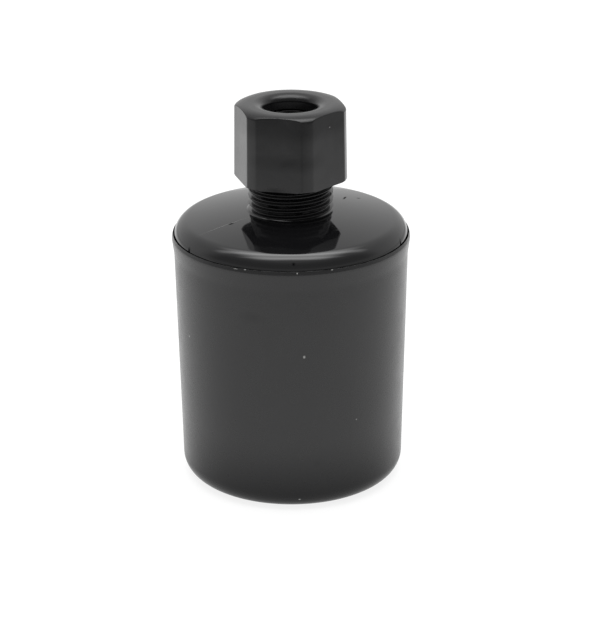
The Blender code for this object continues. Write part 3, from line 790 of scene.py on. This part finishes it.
def hexagon_radius(angles, heights):
    """Radius of the nut's flats, which are sunk a little in the middle, and drafted."""
    local = (angles - NUT_CORNER_ANGLE) % (pi / 3) - pi / 6
    along = (heights - NUT_BOTTOM) / (NUT_TOP - NUT_BOTTOM)
    across = np.tan(local) / tan(pi / 6)
    sink = NUT_SINK * (1.0 - across ** 2) ** 2 * np.clip(4.0 * along * (1.0 - along), 0.0, 1.0)
    flats = NUT_FOOT_FLATS + (NUT_TOP_FLATS - NUT_FOOT_FLATS) * along
    return (flats / 2 - sink) / np.cos(local)


def smooth_min(first, second, width):
    """The smaller of two values, with a blend where they are closer than width."""
    overlap = np.clip(width - np.abs(first - second), 0.0, None) / width
    return np.minimum(first, second) - overlap ** 2 * width / 4


def nut_bore_radius(turns, heights):
    """The nut's thread, with a chamfer where the neck goes in."""
    chamfer = NUT_THREAD["wall"] + NUT_LEAD_IN - (heights - NUT_BOTTOM)
    return np.maximum(thread_radius(turns, heights, **NUT_THREAD), chamfer)


def mouth_curve():
    """From the throat up to the top face: a tight curve, then a wide one."""
    tangent_r = NUT_MOUTH_R - NUT_MOUTH_CURVE * sin(NUT_MOUTH_SLOPE)
    tangent_z = NUT_TOP - NUT_MOUTH_CURVE * (1.0 - cos(NUT_MOUTH_SLOPE))
    edge_r = (tangent_r - NUT_THROAT_R) / (1.0 - sin(NUT_MOUTH_SLOPE))
    tight_steps = 8
    wide_steps = 16
    points = []
    for step in range(tight_steps):
        angle = pi / 2 + (NUT_MOUTH_SLOPE - pi / 2) * step / tight_steps
        points.append((NUT_THROAT_R + edge_r * (1.0 - sin(angle)),
                       tangent_z + edge_r * (cos(angle) - cos(NUT_MOUTH_SLOPE))))
    for step in range(wide_steps + 1):
        angle = NUT_MOUTH_SLOPE * (1.0 - step / wide_steps)
        points.append((NUT_MOUTH_R - NUT_MOUTH_CURVE * sin(angle),
                       NUT_TOP - NUT_MOUTH_CURVE * (1.0 - cos(angle))))
    return points


def compression_nut(material):
    """Hexagonal nut with turned corners, a rounded mouth and an inner thread."""
    angles = nut_angles()
    edge_steps = 24
    outer = []
    for step in range(edge_steps + 1):
        angle = pi / 2 * (1.0 - step / edge_steps)
        outer.append((NUT_TOP_CORNER_R - NUT_EDGE_WIDTH * (1.0 - cos(angle)),
                      NUT_TOP - NUT_EDGE_HEIGHT * (1.0 - sin(angle))))
    side = [
        (NUT_TOP_CORNER_R, NUT_TOP - NUT_EDGE_HEIGHT, 0.0),
        (NUT_FOOT_CORNER_R, NUT_BOTTOM + NUT_FOOT_CHAMFER, 0.1),
        (NUT_FOOT_CORNER_R - NUT_FOOT_CHAMFER / tan(NUT_FOOT_ANGLE), NUT_BOTTOM, 0.15),
        (NUT_THREAD["wall"] + NUT_LEAD_IN, NUT_BOTTOM, 0.0),
    ]
    outer += held(rounded(side), closed=False)
    rings = []
    for radius, height in outer:
        flats = hexagon_radius(angles, height)
        rings.append(ring(smooth_min(flats, radius, NUT_EDGE_BLEND), height + RIM, angles))
    rings[-1] = ring(outer[-1][0], outer[-1][1] + RIM, angles)

    lift = NUT_THREAD["lift"]
    thread = helical_skin(nut_bore_radius, NUT_BOTTOM, NUT_THREAD_TOP, lift, angles, outside=False)
    thread[0][:, 2] += RIM
    bore = [
        (NUT_THREAD["wall"], NUT_THREAD_TOP, 0.0),
        (NUT_POCKET_R, NUT_THREAD_TOP + NUT_POCKET_BEVEL, 0.2),
        (NUT_POCKET_R, NUT_SHOULDER, 0.15),
        (NUT_BORE_R, NUT_SHOULDER, 0.1),
    ]
    mouth = mouth_curve()
    bore.append((*mouth[0], 0.0))
    top_middle = ((NUT_MOUTH_R + outer[0][0]) / 2, NUT_TOP)
    path = held(rounded(bore), closed=False) + mouth[1:] + [top_middle, outer[0]]
    upper = [ring(radius, height + RIM, angles) for radius, height in path]
    turns = (angles + pi / 2) / (2 * pi)
    thread_end = nut_bore_radius(turns, np.full(angles.shape, NUT_THREAD_TOP))
    upper[0] = ring(thread_end, NUT_THREAD_TOP + RIM, angles)
    upper[-1] = rings[0]
    add_piece("compression_nut_shell", [ring_skin(rings), thread, ring_skin(upper)], material,
              "nut", "compression_nut")


# ---------------------------------------------------------------- thrust ring

def thrust_ring(material):
    """A ring with the CAD ring's size and rounded edges."""
    outer_r, bottom, top = cad_size("thrust_ring")
    corners = [
        (outer_r, top, THRUST_EDGE),
        (outer_r, bottom, THRUST_EDGE),
        (THRUST_BORE_R, bottom, THRUST_EDGE),
        (THRUST_BORE_R, top, THRUST_EDGE),
    ]
    angles = even_angles(RING_COLUMNS)
    rings = [ring(radius, height, angles) for radius, height in held(rounded(corners))]
    add_piece("thrust_ring_shell", [ring_skin(rings, closed=True)], material, "grip", "thrust_ring")


# ---------------------------------------------------------------- stage

FLOOR_R = 8000.0
FLOOR_ALBEDO = 0.2
FLOOR_GLOW = 0.84
FLOOR_FADES = (             # side, where the floor starts and stops dimming in metres, and to what share
    ("X", 1, (0.18, 0.3), 0.4),
    ("X", -1, (0.18, 0.36), 0.5),
    ("Y", -1, (0.19, 0.26), 0.2),
    ("Y", 1, (0.5, 1.2), 0.8),
)

# Sky: (sine of the elevation, radiance), behind the object and on the camera's side
SKY_BACK = ((0.0, 0.78), (0.2, 0.84), (0.4, 0.87), (0.62, 0.83), (0.8, 0.9), (1.0, 1.0))
SKY_FRONT = ((0.0, 0.62), (0.12, 0.48), (0.25, 0.36), (0.55, 0.34), (0.72, 0.45), (0.86, 0.75), (1.0, 1.0))
SKY_TURN = (-0.25, 0.2)     # where the front gives way to the back, along Y

# Bright bands overhead, as seen on a level ceiling one unit up: radiance, where a band fades out
# aside, and where it fades in and out from the camera's side to the back
CEILING = (
    (2.9, (0.2, 0.66), (-0.44, -0.26, 0.4, 0.9)),
    (1.7, (0.5, 1.25), (0.16, 0.28, 0.38, 0.5)),
    (1.6, (0.35, 0.9), (-0.24, -0.14, -0.1, 0.0)),
)
CEILING_BEND = 0.18         # how far the bands bend towards the camera aside
CEILING_LOWEST = 0.2        # sine of the elevation below which they spread no further

CAMERA_AT = Vector((0.0, -0.4707, 0.22325))
CAMERA_AIM = Vector((0.0015, 0.0, 0.0367))
CAMERA_LENS = 137.1
CAMERA_ROLL = radians(-0.36)


def stage():
    """Pale floor that glows round the object."""
    bm = bmesh.new()
    bmesh.ops.create_circle(bm, cap_ends=True, segments=96, radius=FLOOR_R * MM)
    mesh = bpy.data.meshes.new("floor")
    bm.to_mesh(mesh)
    bm.free()
    floor_object = bpy.data.objects.new("floor", mesh)
    bpy.context.scene.collection.objects.link(floor_object)
    surface = Surface("floor_paper", (FLOOR_ALBEDO, FLOOR_ALBEDO, FLOOR_ALBEDO), 0.9)
    surface.specular(0.0)
    surface.shader.inputs["Emission Color"].default_value = (1.0, 1.0, 1.0, 1.0)
    place = surface.axes(surface.place)
    glow = FLOOR_GLOW
    for axis, side, (near, far), share in FLOOR_FADES:
        distance = surface.maths("MULTIPLY", place[axis], float(side))
        glow = surface.maths("MULTIPLY", surface.span(distance, near, far, 1.0, share, smooth=True), glow)
    surface.put(surface.shader.inputs["Emission Strength"], glow)
    mesh.materials.append(surface.material)


def sky():
    """Soft surroundings, with bright bands over the object."""
    world = bpy.data.worlds.new("studio")
    bpy.context.scene.world = world
    world.use_nodes = True
    sums = Sums(world.node_tree)
    way = sums.axes(sums.nodes.new("ShaderNodeTexCoord").outputs["Generated"])
    behind = sums.span(way["Y"], *SKY_TURN, smooth=True)
    mix = sums.nodes.new("ShaderNodeMix")
    sums.put(mix.inputs["Factor"], behind)
    sums.put(mix.inputs["A"], sums.ramp(way["Z"], SKY_FRONT))
    sums.put(mix.inputs["B"], sums.ramp(way["Z"], SKY_BACK))
    light = mix.outputs["Result"]
    height = sums.maths("MAXIMUM", way["Z"], CEILING_LOWEST)
    aside = sums.maths("ABSOLUTE", sums.maths("DIVIDE", way["X"], height))
    back = sums.total(sums.maths("DIVIDE", way["Y"], height), sums.maths("MULTIPLY", aside, CEILING_BEND))
    for radiance, (wide_in, wide_out), (front_out, front_in, back_in, back_out) in CEILING:
        shares = (
            sums.span(aside, wide_in, wide_out, 1.0, 0.0, smooth=True),
            sums.span(back, front_out, front_in, smooth=True),
            sums.span(back, back_in, back_out, 1.0, 0.0, smooth=True),
        )
        band = radiance
        for share in shares:
            band = sums.maths("MULTIPLY", share, band)
        light = sums.total(light, band)
    background = sums.nodes["Background"]
    sums.put(background.inputs["Strength"], light)
    background.inputs["Color"].default_value = (1.0, 1.0, 1.0, 1.0)


def camera():
    """Long lens in front of the object, looking down on it, and rolled a little."""
    data = bpy.data.cameras.new("camera")
    data.sensor_width = 36.0
    data.lens = CAMERA_LENS
    data.clip_start = 0.01
    data.clip_end = 50.0
    view = bpy.data.objects.new("camera", data)
    facing = (CAMERA_AIM - CAMERA_AT).to_track_quat("-Z", "Y")
    view.location = CAMERA_AT
    view.rotation_mode = "QUATERNION"
    view.rotation_quaternion = facing @ Matrix.Rotation(CAMERA_ROLL, 3, "Z").to_quaternion()
    bpy.context.scene.collection.objects.link(view)
    bpy.context.scene.camera = view


# ---------------------------------------------------------------- assembly

camera()
sky()
stage()
bpy.context.scene.view_settings.view_transform = "Standard"

FINISHES = {
    "acetal": acetal(),
    "rubber": rubber(),
    "stainless": stainless(),
    "sheet_aluminium": aluminium(),
    "felt": felt(),
}
for subpart in frame["record"]["subparts"]:
    if subpart["material_slot"] in FINISHES:
        node_mesh = frame["nodes"][subpart["node"]].data
        node_mesh.materials.clear()
        node_mesh.materials.append(FINISHES[subpart["material_slot"]])

canister(canister_plastic())
cap(cap_plastic())
compression_nut(nut_plastic())
thrust_ring(FINISHES["acetal"])
